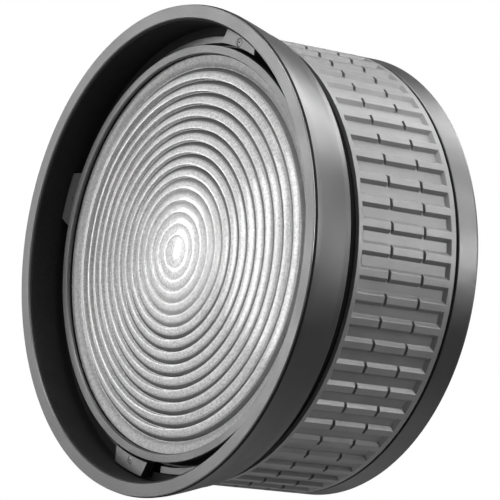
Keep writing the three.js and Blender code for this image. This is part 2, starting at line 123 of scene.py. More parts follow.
BAFFLE_WALL = 1.2      # light baffle
BAFFLE_FRONT_R = 97.0
BAFFLE_REAR_R = 67.2

SEAT_STATION = 126.0   # mount ring
MOUNT_BORE_R = 64.0
MOUNT_NECK_R = 68.5
LUG_COUNT = 3
LUG_R = 75.0
LUG_HEIGHT = 2.8
LUG_WIDTH_DEG = 22

WORLD_LOW = 0.03       # strength of the surround below and above
WORLD_HIGH = 0.10
FLOOR_Z = -1.5         # metres
FLOOR_R = 40.0

CAMERA_AZIMUTH = 53.13
CAMERA_ELEVATION = -4.18
CAMERA_ROLL = 5.51
CAMERA_DISTANCE = 1.644
CAMERA_LENS = 236.5
CAMERA_TARGET = Vector((0.0006, FRONT_Y + 0.0550, 0.0064))


def front_of(node):
    return (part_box(node)[0].y - FRONT_Y) / MM


def rear_of(node):
    return (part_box(node)[1].y - FRONT_Y) / MM


def radius_of(node):
    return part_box(node)[1].z / MM


def ring_point(radius, degrees, station):
    """A point at an angle measured from +Z towards +X, in metres."""
    angle = math.radians(degrees)
    y = FRONT_Y + station * MM
    return Vector((radius * MM * math.sin(angle), y, radius * MM * math.cos(angle)))


def spread(count, first=0.0):
    return [first + i * 360 / count for i in range(count)]


# Node helpers -----------------------------------------------------------------------


class Nodes:
    """A material's node tree with short calls for the nodes used here."""

    def __init__(self, name):
        self.material = bpy.data.materials.new(name)
        self.material.use_nodes = True
        self.tree = self.material.node_tree
        self.shader = self.tree.nodes["Principled BSDF"]
        self.place = self.add("ShaderNodeTexCoord").outputs["Object"]

    def add(self, kind, **settings):
        node = self.tree.nodes.new(kind)
        for key, value in settings.items():
            setattr(node, key, value)
        return node

    def link(self, output, socket):
        self.tree.links.new(output, socket)

    def set(self, **values):
        for key, value in values.items():
            self.shader.inputs[key.replace("_", " ")].default_value = value

    def noise(self, scale, detail=3.0, roughness=0.5, place=None):
        node = self.add("ShaderNodeTexNoise")
        node.inputs["Scale"].default_value = scale
        node.inputs["Detail"].default_value = detail
        node.inputs["Roughness"].default_value = roughness
        self.link(place or self.place, node.inputs["Vector"])
        return node.outputs["Fac"]

    def around_axis(self, slowness):
        """Coordinates of radius, station and a much slower turn about the lens axis."""
        split = self.add("ShaderNodeSeparateXYZ")
        self.link(self.place, split.inputs[0])
        turn = self.maths("ARCTAN2", split.outputs["X"], split.outputs["Z"])
        joined = self.add("ShaderNodeCombineXYZ")
        self.link(self.radius(), joined.inputs["X"])
        self.link(split.outputs["Y"], joined.inputs["Y"])
        self.link(self.maths("MULTIPLY", turn, slowness), joined.inputs["Z"])
        return joined.outputs[0]

    def radius(self):
        """Distance from the lens axis, in metres."""
        flat = self.add("ShaderNodeVectorMath", operation="MULTIPLY")
        flat.inputs[1].default_value = (1, 0, 1)
        self.link(self.place, flat.inputs[0])
        length = self.add("ShaderNodeVectorMath", operation="LENGTH")
        self.link(flat.outputs[0], length.inputs[0])
        return length.outputs["Value"]

    def maths(self, operation, *values):
        node = self.add("ShaderNodeMath", operation=operation)
        for socket, value in zip(node.inputs, values):
            if isinstance(value, bpy.types.NodeSocket):
                self.link(value, socket)
            else:
                socket.default_value = value
        return node.outputs[0]

    def ramp(self, value, stops):
        """A grey that follows (position, grey) stops."""
        node = self.add("ShaderNodeValToRGB")
        marks = node.color_ramp.elements
        while len(marks) < len(stops):
            marks.new(1.0)
        for mark, (position, shade) in zip(marks, stops):
            mark.position = position
            mark.color = (*grey(shade), 1)
        self.link(value, node.inputs["Fac"])
        return node.outputs["Color"]

    def ranged(self, value, low, high, start=0.3, end=0.7):
        node = self.add("ShaderNodeMapRange")
        node.inputs["From Min"].default_value = start
        node.inputs["From Max"].default_value = end
        node.inputs["To Min"].default_value = low
        node.inputs["To Max"].default_value = high
        self.link(value, node.inputs["Value"])
        return node.outputs["Result"]

    def bump(self, height, distance, strength=1.0, below=None):
        node = self.add("ShaderNodeBump")
        node.inputs["Distance"].default_value = distance
        node.inputs["Strength"].default_value = strength
        self.link(height, node.inputs["Height"])
        if below is not None:
            self.link(below, node.inputs["Normal"])
        return node.outputs["Normal"]

    def colours(self, factor, dark, light):
        node = self.add("ShaderNodeMix", data_type="RGBA")
        node.inputs["A"].default_value = (*dark, 1)
        node.inputs["B"].default_value = (*light, 1)
        self.link(factor, node.inputs["Factor"])
        return node.outputs["Result"]


def grey(value, tint=0.0):
    return (value, value, value * (1 + tint))


# Materials --------------------------------------------------------------------------


def anodised(name, base, rough, metallic):
    """Bead-blasted and anodised aluminium: a fine grain with a faint cloudiness."""
    n = Nodes(name)
    n.set(Metallic=metallic)
    cloud = n.noise(38.0, 3.0)
    speck = n.noise(1500.0, 2.0)
    shade = n.colours(n.ranged(speck, 0.0, 1.0), grey(base * 0.86), grey(base * 1.14, 0.01))
    n.link(shade, n.shader.inputs["Base Color"])
    n.link(n.ranged(cloud, rough - 0.04, rough + 0.05), n.shader.inputs["Roughness"])
    grain = n.bump(n.noise(2600.0, 3.0), 0.00006, 0.5)
    n.link(grain, n.shader.inputs["Normal"])
    return n.material


def matte_black():
    """Flocked-looking black paint that shows only a soft sheen and a little dust."""
    n = Nodes("matte_black_paint")
    n.set(Metallic=0.0, Specular_IOR_Level=0.2)
    dust = n.noise(700.0, 4.0, 0.6)
    n.link(n.colours(n.ranged(dust, 0.0, 1.0, 0.45, 0.75), grey(0.002), grey(0.006)),
           n.shader.inputs["Base Color"])
    n.link(n.ranged(n.noise(60.0), 0.72, 0.88), n.shader.inputs["Roughness"])
    n.link(n.bump(n.noise(1900.0, 3.0), 0.0001, 0.6), n.shader.inputs["Normal"])
    return n.material


def turned_steel():
    """Plated steel with fine turning marks that run round the axis."""
    n = Nodes("turned_steel")
    n.set(Metallic=1.0)
    marks = n.noise(2400.0, 3.0, 0.6, n.around_axis(0.004))
    smear = n.noise(45.0, 4.0, 0.6)
    n.link(n.colours(n.ranged(smear, 0.0, 1.0), grey(0.15), grey(0.20, 0.01)),
           n.shader.inputs["Base Color"])
    n.link(n.ranged(marks, 0.36, 0.52), n.shader.inputs["Roughness"])
    n.link(n.bump(marks, 0.00004, 0.6), n.shader.inputs["Normal"])
    return n.material


def dark_steel():
    """Black-oxide screws with slight oily variation."""
    n = Nodes("black_oxide_steel")
    n.set(Metallic=0.6)
    smear = n.noise(420.0, 4.0, 0.6)
    n.link(n.colours(n.ranged(smear, 0.0, 1.0), grey(0.15), grey(0.24)),
           n.shader.inputs["Base Color"])
    n.link(n.ranged(smear, 0.36, 0.50), n.shader.inputs["Roughness"])
    n.link(n.bump(n.noise(3000.0), 0.00004, 0.5), n.shader.inputs["Normal"])
    return n.material


def rubber(name, base, rough, specular):
    """Moulded rubber: a fine leather-like grain and slightly uneven tone."""
    n = Nodes(name)
    n.set(Metallic=0.0, Specular_IOR_Level=specular)
    tone = n.noise(55.0, 4.0, 0.6)
    speck = n.noise(2000.0, 2.0)
    n.link(n.colours(n.ranged(tone, 0.0, 1.0), grey(base * 0.88), grey(base * 1.12)),
           n.shader.inputs["Base Color"])
    n.link(n.ranged(speck, rough - 0.06, rough + 0.06), n.shader.inputs["Roughness"])
    coarse = n.bump(n.noise(900.0, 2.0), 0.00008, 0.35)
    n.link(n.bump(speck, 0.00006, 0.5, coarse), n.shader.inputs["Normal"])
    return n.material


def polymer():
    """Low-friction plastic of the washer, the bushes and the glide bands."""
    n = Nodes("black_polymer")
    n.set(Metallic=0.0)
    speck = n.noise(1200.0, 3.0)
    n.link(n.colours(n.ranged(speck, 0.0, 1.0), grey(0.015), grey(0.026)),
           n.shader.inputs["Base Color"])
    n.link(n.ranged(speck, 0.44, 0.58), n.shader.inputs["Roughness"])
    n.link(n.bump(speck, 0.00005, 0.4), n.shader.inputs["Normal"])
    return n.material


def across_zone(n):
    """How far across its lens zone a point lies, from 0 at the crest to 1 at the foot.

    It solves zone_edge() for the zone's number and keeps the fraction.
    """
    square = n.maths("MULTIPLY_ADD", n.radius(), -4 * ZONE_BEND / MM,
                     FIRST_PITCH ** 2 + 4 * ZONE_BEND * BULLSEYE_R)
    count = n.maths("MULTIPLY_ADD", n.maths("SQRT", square), -1 / (2 * ZONE_BEND),
                    FIRST_PITCH / (2 * ZONE_BEND))
    return n.maths("FRACT", count)


def zone_value(n, stops, middle):
    """A value that follows the stops across each zone and fades to another at the centre."""
    fade = n.ranged(n.radius(), 0.0, 1.0, *ZONE_FADE)
    change = n.maths("SUBTRACT", n.ramp(across_zone(n), stops), middle)
    return n.maths("MULTIPLY_ADD", change, fade, middle)


def lens_glass(name, milk, dark, light, rough, zoned=False):
    """Pressed glass with a pebbly grain; on zoned glass its colour carries a painted highlight at
    each crest and painted shade at each foot.
    """
    n = Nodes(name)
    n.set(Metallic=0.0, IOR=1.5, Transmission_Weight=1 - milk)
    grain = n.noise(900.0, 2.0)
    shade = n.ranged(grain, dark, light, 0.35, 0.65)
    if zoned:
        # painted highlight and shade across each zone, fading out towards the centre
        shade = n.maths("MULTIPLY", shade, zone_value(n, ZONE_PAINTED_LIGHT_AND_SHADE, 1.0))
        gloss = zone_value(n, ZONE_ROUGHNESS, rough)
    else:
        gloss = n.ranged(n.noise(160.0, 2.0), rough - 0.015, rough + 0.015)
    n.link(shade, n.shader.inputs["Base Color"])
    n.link(gloss, n.shader.inputs["Roughness"])
    n.link(n.bump(grain, 0.00003, 0.3), n.shader.inputs["Normal"])
    return n.material


BLACK_ANODISED = anodised("satin_black_anodised", 0.010, 0.38, 0.0)
GREY_ANODISED = anodised("satin_grey_anodised", 0.07, 0.35, 0.6)
MATTE_BLACK = matte_black()
STEEL = turned_steel()
DARK_STEEL = dark_steel()
GRIP_RUBBER = rubber("grip_rubber", 0.068, 0.46, 0.5)
SEAL_RUBBER = rubber("seal_rubber", 0.004, 0.9, 0.02)
POLYMER = polymer()
GLASS_ZONES = lens_glass("stepped_lens_glass", 0.45, 0.66, 1.0, 0.12, zoned=True)
GLASS_PEBBLED = lens_glass("pebbled_lens_glass", 0.30, 0.55, 0.9, 0.30)
GLASS_EDGE = lens_glass("ground_lens_edge", 0.30, 0.25, 0.45, 0.42)


# Mesh helpers -----------------------------------------------------------------------


def rounded(outline, steps=3):
    """An outline of (radius, station, fillet) corners with each fillet as a short arc."""
    points = []
    for i, (r, s, fillet) in enumerate(outline):
        corner = Vector((r, s))
        if fillet == 0:
            points.append(corner)
            continue
        before = (Vector(outline[i - 1][:2]) - corner).normalized()
        after = (Vector(outline[(i + 1) % len(outline)][:2]) - corner).normalized()
        half = before.angle(after) / 2
        reach = fillet / math.tan(half)
        centre = corner + (before + after).normalized() * (fillet / math.sin(half))
        start = corner + before * reach - centre
        end = corner + after * reach - centre
        for k in range(steps + 1):
            points.append(centre + start.slerp(end, k / steps).normalized() * fillet)
    return [(p.x, p.y) for p in points]


def turned(outline):
    """A bmesh turned about the lens axis from a closed outline of (radius, station)."""
    bm = bmesh.new()
    angles = spread(ROUND)
    rings = []
    for r, s in outline:
        if r == 0:
            rings.append([bm.verts.new(ring_point(0, 0, s))] * ROUND)
        else:
            rings.append([bm.verts.new(ring_point(r, a, s)) for a in angles])
    on_axis = outline[0][0] == 0
    last = len(rings) - 1 if on_axis else len(rings)
    for i in range(last):
        ring, after = rings[i], rings[(i + 1) % len(rings)]
        for k in range(ROUND):
            loop = [ring[k], ring[(k + 1) % ROUND], after[(k + 1) % ROUND], after[k]]
            bm.faces.new(list(dict.fromkeys(loop)))
    bmesh.ops.recalc_face_normals(bm, faces=bm.faces)
    return bm


def bar(bar_r, bolt_r, degrees, front, rear, sides=HOLE):
    """A round or many-sided bar along the axis direction, used to cut holes."""
    bm = bmesh.new()
    depth = (rear - front) * MM
    bmesh.ops.create_cone(bm, cap_ends=True, segments=sides, radius1=bar_r * MM,
                          radius2=bar_r * MM, depth=depth)
    place = Matrix.Translation(ring_point(bolt_r, degrees, (front + rear) / 2))
    bm.transform(place @ Matrix.Rotation(math.pi / 2, 4, "X"))
    return bm


def radial_box(width, inner, outer, front, rear, degrees):
    """A box that points outwards from the axis, used to cut slots."""
    bm = bmesh.new()
    bmesh.ops.create_cube(bm, size=1.0)
    size = Matrix.Diagonal((width * MM, (rear - front) * MM, (outer - inner) * MM, 1))
    middle = ring_point((inner + outer) / 2, 0, (front + rear) / 2)
    bm.transform(Matrix.Rotation(math.radians(degrees), 4, "Y")
                 @ Matrix.Translation(middle) @ size)
    return bm


def to_object(name, bm):
    mesh = bpy.data.meshes.new(name)
    bm.to_mesh(mesh)
    bm.free()
    piece = bpy.data.objects.new(name, mesh)
    bpy.context.scene.collection.objects.link(piece)
    return piece


def combine(piece, tools, operation):
    """Cuts the tools out of a piece, or joins them to it."""
    for tool in tools:
        cutter = to_object("cutter", tool)
        change = piece.modifiers.new("combine", "BOOLEAN")
        change.operation = operation
        change.solver = "EXACT"
        change.object = cutter
        bpy.context.view_layer.update()
        depsgraph = bpy.context.evaluated_depsgraph_get()
        mesh = bpy.data.meshes.new_from_object(piece.evaluated_get(depsgraph))
        piece.modifiers.clear()
        piece.data = mesh
        bpy.data.objects.remove(cutter)


def merged(parts):
    """One bmesh of several separate ones, so that a boolean runs once."""
    whole = bmesh.new()
    for part in parts:
        mesh = bpy.data.meshes.new("part")
        part.to_mesh(mesh)
        part.free()
        whole.from_mesh(mesh)
        bpy.data.meshes.remove(mesh)
    return whole


def soften(piece, width, angle=30):
    """Small rounded edges where faces meet at more than the angle, in degrees."""
    edge = piece.modifiers.new("edge", "BEVEL")
    edge.width = width * MM
    edge.segments = 2
    edge.limit_method = "ANGLE"
    edge.angle_limit = math.radians(angle)
    edge.harden_normals = True


def dress(piece, finish, body, slot, *nodes):
    """Shading, material, body and the CAD nodes that a finished piece stands for."""
    mesh = piece.data
    mesh.materials.clear()
    for one in finish if isinstance(finish, list) else [finish]:
        mesh.materials.append(one)
    for face in mesh.polygons:
        face.use_smooth = True
    mesh.set_sharp_from_angle(angle=SHARP)
    if not piece.modifiers:
        piece.modifiers.new("even", "WEIGHTED_NORMAL").keep_sharp = True
    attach(piece, body)
    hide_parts(*nodes)


def paint_where(piece, index, inside):
    """Gives the faces whose centre passes a test another of the piece's materials."""
    for face in piece.data.polygons:
        radius = math.hypot(face.center.x, face.center.z) / MM
        station = (face.center.y - FRONT_Y) / MM
        if inside(radius, station):
            face.material_index = index


# Fixed housing, front ---------------------------------------------------------------


def front_rim():
    r, rear = radius_of("front_rim"), rear_of("front_rim")
    bore = r - 6.8
    outline = rounded([
        (bore, rear, 0), (bore, 0.5, 0.1), (bore + 0.5, 0, 0.12), (r, 0, 0.25),
        (r, 0.9, 0.15), (r - 1.9, 0.9, 0), (r - 1.9, rear, 0),
    ])
    piece = to_object("rim", turned(outline))
    dress(piece, GREY_ANODISED, "housing", "grey_anodised", "front_rim")


def front_barrel():
    front, rear, r = front_of("front_barrel"), rear_of("front_barrel"), radius_of("front_barrel")
    well, shoulder, rear_r = r - 8, r - 12.4, r - 6.6
    outside = [(r - 0.7, front, 0.12), (r, front + 0.7, 0.25)]
    crown, fall_end, steps = 3.0, rear - 1.6, 13
    for i in range(1, steps):
        t = i / steps
        fall = (r - rear_r) * (0.85 * t + 0.15 * t * t)
        outside.append((r - fall, crown + (fall_end - crown) * t, 0))
    corners = [(well, front, 0.15), *outside, (rear_r, rear, 1.2), (shoulder, rear, 0.3),
               (shoulder, SHOULDER_FRONT, 0), (well, SHOULDER_FRONT, 0.3)]
    piece = to_object("barrel", turned(rounded(corners)))
    dress(piece, [BLACK_ANODISED, MATTE_BLACK], "housing", "black_anodised", "front_barrel")
    # The well and the shoulder get the matte black paint; the front lip's chamfer gets it as
    # painted shade for the gap between rim and barrel.
    lip = front + 0.75
    paint_where(piece, 1, lambda radius, station: radius < well + 0.05 or station < lip)


def guide_tube():
    front, rear, r = front_of("guide_tube"), rear_of("guide_tube"), radius_of("guide_tube")
    bore, wall, foot = r - 3.7, r - 1.6, r - 0.3
    outline = rounded([
        (bore, front, 0.3), (r, front, 0.4), (r, FLANGE_REAR, 0), (wall, FLANGE_REAR, 0),
        (wall, FOOT_FRONT, 0), (foot, FOOT_FRONT, 0), (foot, rear, 0.2), (FOOT_R, rear, 0.2),
        (FOOT_R, FOOT_FRONT, 0), (bore, FOOT_FRONT, 0),
    ])
    piece = to_object("tube", turned(outline))
    angles = spread(SLOT_COUNT, SLOT_FIRST_DEG)
    slots = [radial_box(SLOT_WIDTH, FOOT_R, r + 1, front - 1, SLOT_REAR, a) for a in angles]
    mouths = [radial_box(SLOT_MOUTH_WIDTH, FOOT_R, r + 1, front - 1, front + SLOT_MOUTH_DEPTH, a)
              for a in angles]
    combine(piece, [merged(slots), merged(mouths)], "DIFFERENCE")
    dress(piece, GREY_ANODISED, "housing", "grey_anodised", "guide_tube")


def clamp_plate(number, degrees):
    """A plate with curved edges that spans the tube's front end and the barrel's shoulder."""
    steps = 16
    bm = bmesh.new()
    loops = []
    for station in (CLAMP_FRONT, CLAMP_REAR):
        points = []
        for (radius, half), way in ((CLAMP_OUTER, 1), (CLAMP_INNER, -1)):
            points += [ring_point(radius, degrees + way * (2 * k / steps - 1) * half, station)
                       for k in range(steps + 1)]
        loops.append([bm.verts.new(p) for p in points])
    count = len(loops[0])
    for k in range(count):
        after = (k + 1) % count
        bm.faces.new([loops[0][k], loops[0][after], loops[1][after], loops[1][k]])
    for loop in loops:
        bm.faces.new(loop)
    bmesh.ops.recalc_face_normals(bm, faces=bm.faces)
    piece = to_object(f"clamp_{number}", bm)
    seat = bar(2.14, CLAMP_SCREW_R, degrees, CLAMP_FRONT - 1, CLAMP_FRONT + 1.5)
    hole = bar(1.5, CLAMP_SCREW_R - 0.15, degrees, CLAMP_FRONT - 1, CLAMP_REAR + 1)
    combine(piece, [seat, hole], "DIFFERENCE")
    soften(piece, 0.22)
    dress(piece, GREY_ANODISED, "housing", "grey_anodised", f"clamp_plate_{number}")


def dust_seal():
    """The front seal: a ring with a lip that reaches forwards over the tube's flange."""
    node = "front_dust_seal"
    front, rear, r = front_of(node), rear_of(node), radius_of(node)
    outline = rounded([
        (r - 1.0, front, 0), (r - 0.2, front, 0.3), (r - 0.2, rear, 0.5), (r - 1.8, rear, 0),
        (r - 1.8, FLANGE_REAR + 0.3, 0), (r - 1.0, FLANGE_REAR + 0.3, 0),
    ])
    dress(to_object("front_seal", turned(outline)), SEAL_RUBBER, "housing", "black_rubber", node)


def thrust_washer():
    node = "rear_thrust_washer"
    front, rear, r = front_of(node), rear_of(node), radius_of(node)
    edge = (rear - front) / 3
    outline = rounded([(r - 1.7, front, 0), (r - 0.2, front, edge), (r - 0.2, rear, edge),
                       (r - 1.7, rear, 0)])
    dress(to_object("rear_washer", turned(outline)), POLYMER, "housing", "black_polymer", node)


# Screws -----------------------------------------------------------------------------


def screw(name, node, bolt_r, degrees, outline, socket_r, socket_floor, finish):
    """A head and shank turned about the screw's own axis, with a hexagon socket.

    The outline's stations run from the head's crown, at 0, towards the shank's tip.  Clamp
    screws face the front and all others face the back.
    """
    low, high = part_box(node)
    outward = -1 if node.startswith("clamp") else 1
    crown_y = low.y if outward < 0 else high.y
    bm = bmesh.new()
    rings = []
    for r, depth in rounded(outline):
        y = crown_y - outward * depth * MM
        if r == 0:
            rings.append([bm.verts.new((0, y, 0))] * HOLE)
            continue
        rings.append([bm.verts.new((r * MM * math.sin(a), y, r * MM * math.cos(a)))
                      for a in map(math.radians, spread(HOLE))])
    for ring, after in zip(rings, rings[1:]):
        for k in range(HOLE):
            loop = [ring[k], ring[(k + 1) % HOLE], after[(k + 1) % HOLE], after[k]]
            bm.faces.new(list(dict.fromkeys(loop)))
    bmesh.ops.recalc_face_normals(bm, faces=bm.faces)
    bm.transform(Matrix.Translation(ring_point(bolt_r, degrees, 0) - ring_point(0, 0, 0)))
    piece = to_object(name, bm)
    crown = (crown_y - FRONT_Y) / MM
    ends = sorted((crown + outward, crown - outward * socket_floor))
    combine(piece, [bar(socket_r, bolt_r, degrees, *ends, sides=6)], "DIFFERENCE")
    dress(piece, finish, "housing", "black_steel", node)


def clamp_screws():
    outline = [(0, 0, 0), (2.0, 0, 0.08), (2.0, 1.25, 0), (1.2, 1.25, 0), (1.2, 12.2, 0.3),
               (0, 12.2, 0)]
    for i, degrees in enumerate(spread(CLAMP_COUNT, CLAMP_FIRST_DEG)):
        screw(f"clamp_screw_head_{i + 1}", f"clamp_screw_{i + 1}", CLAMP_SCREW_R, degrees,
              outline, 0.5, 0.7, GREY_ANODISED)


def housing_screws():
    outline = [(0, 0, 0), (1.3, 0.05, 0.2), (2.6, 0.8, 0.3), (2.8, 1.25, 0), (1.45, 1.25, 0),
               (1.45, 8.0, 0.4), (0, 8.0, 0)]
    for i, degrees in enumerate(spread(SCREW_COUNT, SCREW_FIRST_DEG)):
        screw(f"back_screw_{i + 1}", f"housing_screw_{i + 1}", HOUSING_SCREW_R, degrees,
              outline, 1.3, 0.9, DARK_STEEL)


def mount_screws():
    outline = [(0, 0, 0), (3.5, 0, 0.35), (3.5, 2.05, 0), (2.0, 2.05, 0), (2.0, 8.7, 0.5),
               (0, 8.7, 0)]
    for i, degrees in enumerate(spread(SCREW_COUNT, SCREW_FIRST_DEG)):
        screw(f"ring_screw_{i + 1}", f"mount_screw_{i + 1}", MOUNT_SCREW_R, degrees,
              outline, 1.6, 1.2, DARK_STEEL)


# Fixed housing, rear ----------------------------------------------------------------


def rear_housing():
    front, end, r = front_of("rear_housing"), rear_of("rear_housing"), radius_of("rear_housing")
    bore, inside, inner_end = r - HOUSING_WALL, HOUSING_BACK - HOUSING_WALL, end - HOUSING_WALL
    outline = rounded([
        (bore, front, 0.2), (r, front, 0.5), (r, HOUSING_BACK, 2.0),
        (HOUSING_SHELF_R, HOUSING_BACK, 1.0), (HOUSING_NECK_R, end - 2.5, 0.8),
        (HOUSING_NECK_R, end, 0.5), (MOUNT_BORE_R, end, 0.2),
        (MOUNT_BORE_R, inner_end, 0), (HOUSING_NECK_R - HOUSING_WALL, inner_end, 0),
        (HOUSING_SHELF_R - 2, inside, 0), (bore, inside, 0),
    ], 5)
    piece = to_object("back_housing", turned(outline))
    dress(piece, [BLACK_ANODISED, MATTE_BLACK], "housing", "black_anodised", "rear_housing")
    paint_where(piece, 1, lambda radius, station: radius < bore + 0.1 and station < inside + 0.1)


def lug(degrees, end):
    """One bayonet lug, with a root inside the neck that it is joined to."""
    bm = bmesh.new()
    steps = 12
    front, rear, root = end - LUG_HEIGHT, end - 0.05, MOUNT_NECK_R - 1.5
    corners = ((root, front), (LUG_R, front), (LUG_R, rear), (root, rear))
    sections = []
    for k in range(steps + 1):
        angle = degrees + (k / steps - 0.5) * LUG_WIDTH_DEG
        sections.append([bm.verts.new(ring_point(radius, angle, station))
                         for radius, station in corners])
    for one, after in zip(sections, sections[1:]):
        for k in range(4):
            bm.faces.new([one[k], one[(k + 1) % 4], after[(k + 1) % 4], after[k]])
    bm.faces.new(sections[0])
    bm.faces.new(sections[-1])
    bmesh.ops.recalc_face_normals(bm, faces=bm.faces)
    return bm


def mount_ring():
    front, end, r = front_of("mount_ring"), rear_of("mount_ring"), radius_of("mount_ring")
    outline = rounded([
        (MOUNT_BORE_R, front, 0.4), (r, front, 0.3), (r, SEAT_STATION, 0.6),
        (MOUNT_NECK_R, SEAT_STATION, 0.4), (MOUNT_NECK_R, end, 0.6), (MOUNT_BORE_R, end, 0.6),
    ])
    piece = to_object("bayonet_ring", turned(outline))
    combine(piece, [merged([lug(degrees, end) for degrees in spread(LUG_COUNT)])], "UNION")
    seats = [bar(3.8, MOUNT_SCREW_R, a, SEAT_STATION - 2.4, SEAT_STATION + 1)
             for a in spread(SCREW_COUNT, SCREW_FIRST_DEG)]
    notch = radial_box(7, r - 4, r + 3, front - 1, SEAT_STATION + 1, 180)
    combine(piece, [merged(seats), notch], "DIFFERENCE")
    soften(piece, 0.2, 50)
    dress(piece, STEEL, "housing", "bare_steel", "mount_ring")


def light_baffle():
    front, rear = front_of("light_baffle"), rear_of("light_baffle")
    outline = rounded([
        (BAFFLE_FRONT_R - BAFFLE_WALL, front, 0.2), (BAFFLE_FRONT_R, front, 0.2),
        (BAFFLE_FRONT_R, front + 1.5, 0.4), (BAFFLE_REAR_R, rear, 0.2),
        (BAFFLE_REAR_R - BAFFLE_WALL, rear, 0.2),
    ])
    piece = to_object("baffle_cone", turned(outline))
    dress(piece, MATTE_BLACK, "housing", "matte_black", "light_baffle")


# Focus ring -------------------------------------------------------------------------


class Grip:
    """The grip's mesh, built face by face from shared (degrees, radius, station) corners."""

    def __init__(self):
        node = "grip_sleeve"
        self.front, self.rear, self.top = front_of(node), rear_of(node), radius_of(node)
        self.floor, self.bore = self.top - POCKET_DEPTH, self.top - GRIP_WALL
        self.mouth = (self.front + POCKET_MARGINS[0], self.rear - POCKET_MARGINS[1])
        self.ends = (self.mouth[0] + POCKET_END_DRAFT, self.mouth[1] - POCKET_END_DRAFT)
        half = NOTCH_WIDTH / 2
        self.cuts = [s for notch in NOTCH_STATIONS for s in (notch - half, notch + half)]
        self.tops = [self.mouth[0], *self.cuts, self.mouth[1]]
        self.feet = [self.ends[0], *self.cuts, self.ends[1]]
        self.bm = bmesh.new()
        self.known = {}

    def corner(self, degrees, radius, station):
        key = (round(degrees % 360, 5), radius, station)
        if key not in self.known:
            self.known[key] = self.bm.verts.new(ring_point(radius, degrees, station))
        return self.known[key]

    def face(self, *corners):
        self.bm.faces.new([self.corner(*c) for c in corners])

    def patch(self, a, b, radius, s, t):
        self.face((a, radius, s), (b, radius, s), (b, radius, t), (a, radius, t))

    def sleeve(self, a, b):
        """The plain bands at both ends, the bore and the end faces between two angles."""
        self.patch(a, b, self.top, self.front, self.mouth[0])
        self.patch(a, b, self.top, self.mouth[1], self.rear)
        self.patch(a, b, self.bore, self.front, self.rear)
        for s in (self.front, self.rear):
            self.face((a, self.bore, s), (b, self.bore, s), (b, self.top, s), (a, self.top, s))

    def pocket(self, left, right, foot_left, foot_right):
        """A pocket's floor, its drafted ends and the drafted walls of the ribs beside it."""
        for s, t in zip(self.feet, self.feet[1:]):
            self.patch(foot_left, foot_right, self.floor, s, t)
        for s, t in zip(self.mouth, self.ends):
            self.face((left, self.top, s), (right, self.top, s),
                      (foot_right, self.floor, t), (foot_left, self.floor, t))
        for side, foot in ((left, foot_left), (right, foot_right)):
            for k in (0, 2, 4):
                self.face((side, self.top, self.tops[k]), (side, self.top, self.tops[k + 1]),
                          (foot, self.floor, self.feet[k + 1]), (foot, self.floor, self.feet[k]))

    def rib(self, left, right, foot_left, foot_right):
        """A rib's top in three stretches, with the two notches between them."""
        for k in (0, 2, 4):
            self.patch(left, right, self.top, self.tops[k], self.tops[k + 1])
        for k in (0, 2):
            self.patch(foot_left, foot_right, self.floor, self.cuts[k], self.cuts[k + 1])
        for s in self.cuts:
            self.face((left, self.top, s), (right, self.top, s),
                      (foot_right, self.floor, s), (foot_left, self.floor, s))


def focus_grip():
    """A sleeve of ribs with drafted pockets between them and two notches in each rib."""
    grip = Grip()
    pitch = 360 / RIB_COUNT
    mouth_half = pitch * POCKET_SHARE / 2
    floor_half = mouth_half - math.degrees(POCKET_SIDE_DRAFT / grip.top)
    for centre in spread(RIB_COUNT):
        left, right = centre - mouth_half, centre + mouth_half
        foot_left, foot_right = centre - floor_half, centre + floor_half
        after, after_foot = left + pitch, foot_left + pitch
        grip.sleeve(left, right)
        grip.sleeve(right, after)
        grip.rib(right, after, foot_right, after_foot)
        grip.pocket(left, right, foot_left, foot_right)
    bmesh.ops.recalc_face_normals(grip.bm, faces=grip.bm.faces)
    piece = to_object("focus_grip", grip.bm)
    soften(piece, 0.22, 25)
    dress(piece, GRIP_RUBBER, "focus_ring", "grip_rubber", "grip_sleeve")


# Lens carriage ----------------------------------------------------------------------


def crest_station(radius):
    return CREST_RIM_STATION - CREST_RISE * (1 - (radius / ZONES_R) ** 2)


def zone_edge(k):
    """Inner radius of a lens zone; the zones grow slightly wider towards the rim."""
    return BULLSEYE_R + FIRST_PITCH * k - ZONE_BEND * k * k


def lens_outline():
    """The stepped front from the rim to the middle, closed by the flat back."""
    rear, r, edge = rear_of("fresnel_lens"), radius_of("fresnel_lens"), LENS_EDGE_FRONT
    outline = [(0, rear), *[(r * k / 6, rear) for k in range(1, 6)], (r - 0.4, rear),
               (r, rear - 0.4), (r, edge + 0.3), (r - 0.3, edge), (ZONES_R + 2.6, edge)]
    for k in range(ZONE_COUNT - 1, -1, -1):
        inner, outer = zone_edge(k), zone_edge(k + 1)
        step = STEP_INNER + (STEP_OUTER - STEP_INNER) * (k + 1) / ZONE_COUNT
        crest = crest_station(inner)
        foot = min(crest_station(outer) + step, edge + 1.6)
        high, low = inner + 0.62, outer - 0.28
        outline.append((outer - 0.06, foot - 0.14))
        outline.append((low, foot))
        for i in range(5, -1, -1):
            t = i / 6
            bulge = 0.16 * math.sin(math.pi * t)
            outline.append((high + (low - high) * t, crest + (foot - crest) * (t ** 1.12) - bulge))
        outline.append((inner + 0.36, crest + 0.04))
        outline.append((inner + 0.2, crest + 0.2))
    bull_edge = crest_station(BULLSEYE_R) + STEP_INNER
    apex = crest_station(0) - BULLSEYE_RISE
    steps = 14
    for k in range(steps, -1, -1):
        t = k / steps
        outline.append((BULLSEYE_R * t, apex + (bull_edge - apex) * t * t))
    return outline


def fresnel_lens():
    piece = to_object("stepped_lens", turned(lens_outline()))
    finishes = [GLASS_ZONES, GLASS_PEBBLED, GLASS_EDGE]
    dress(piece, finishes, "lens_carriage", "lens_glass", "fresnel_lens")
    rear = rear_of("fresnel_lens")
    paint_where(piece, 2, lambda radius, station: radius > ZONES_R)
    paint_where(piece, 1, lambda radius, station: station > rear - 0.01)


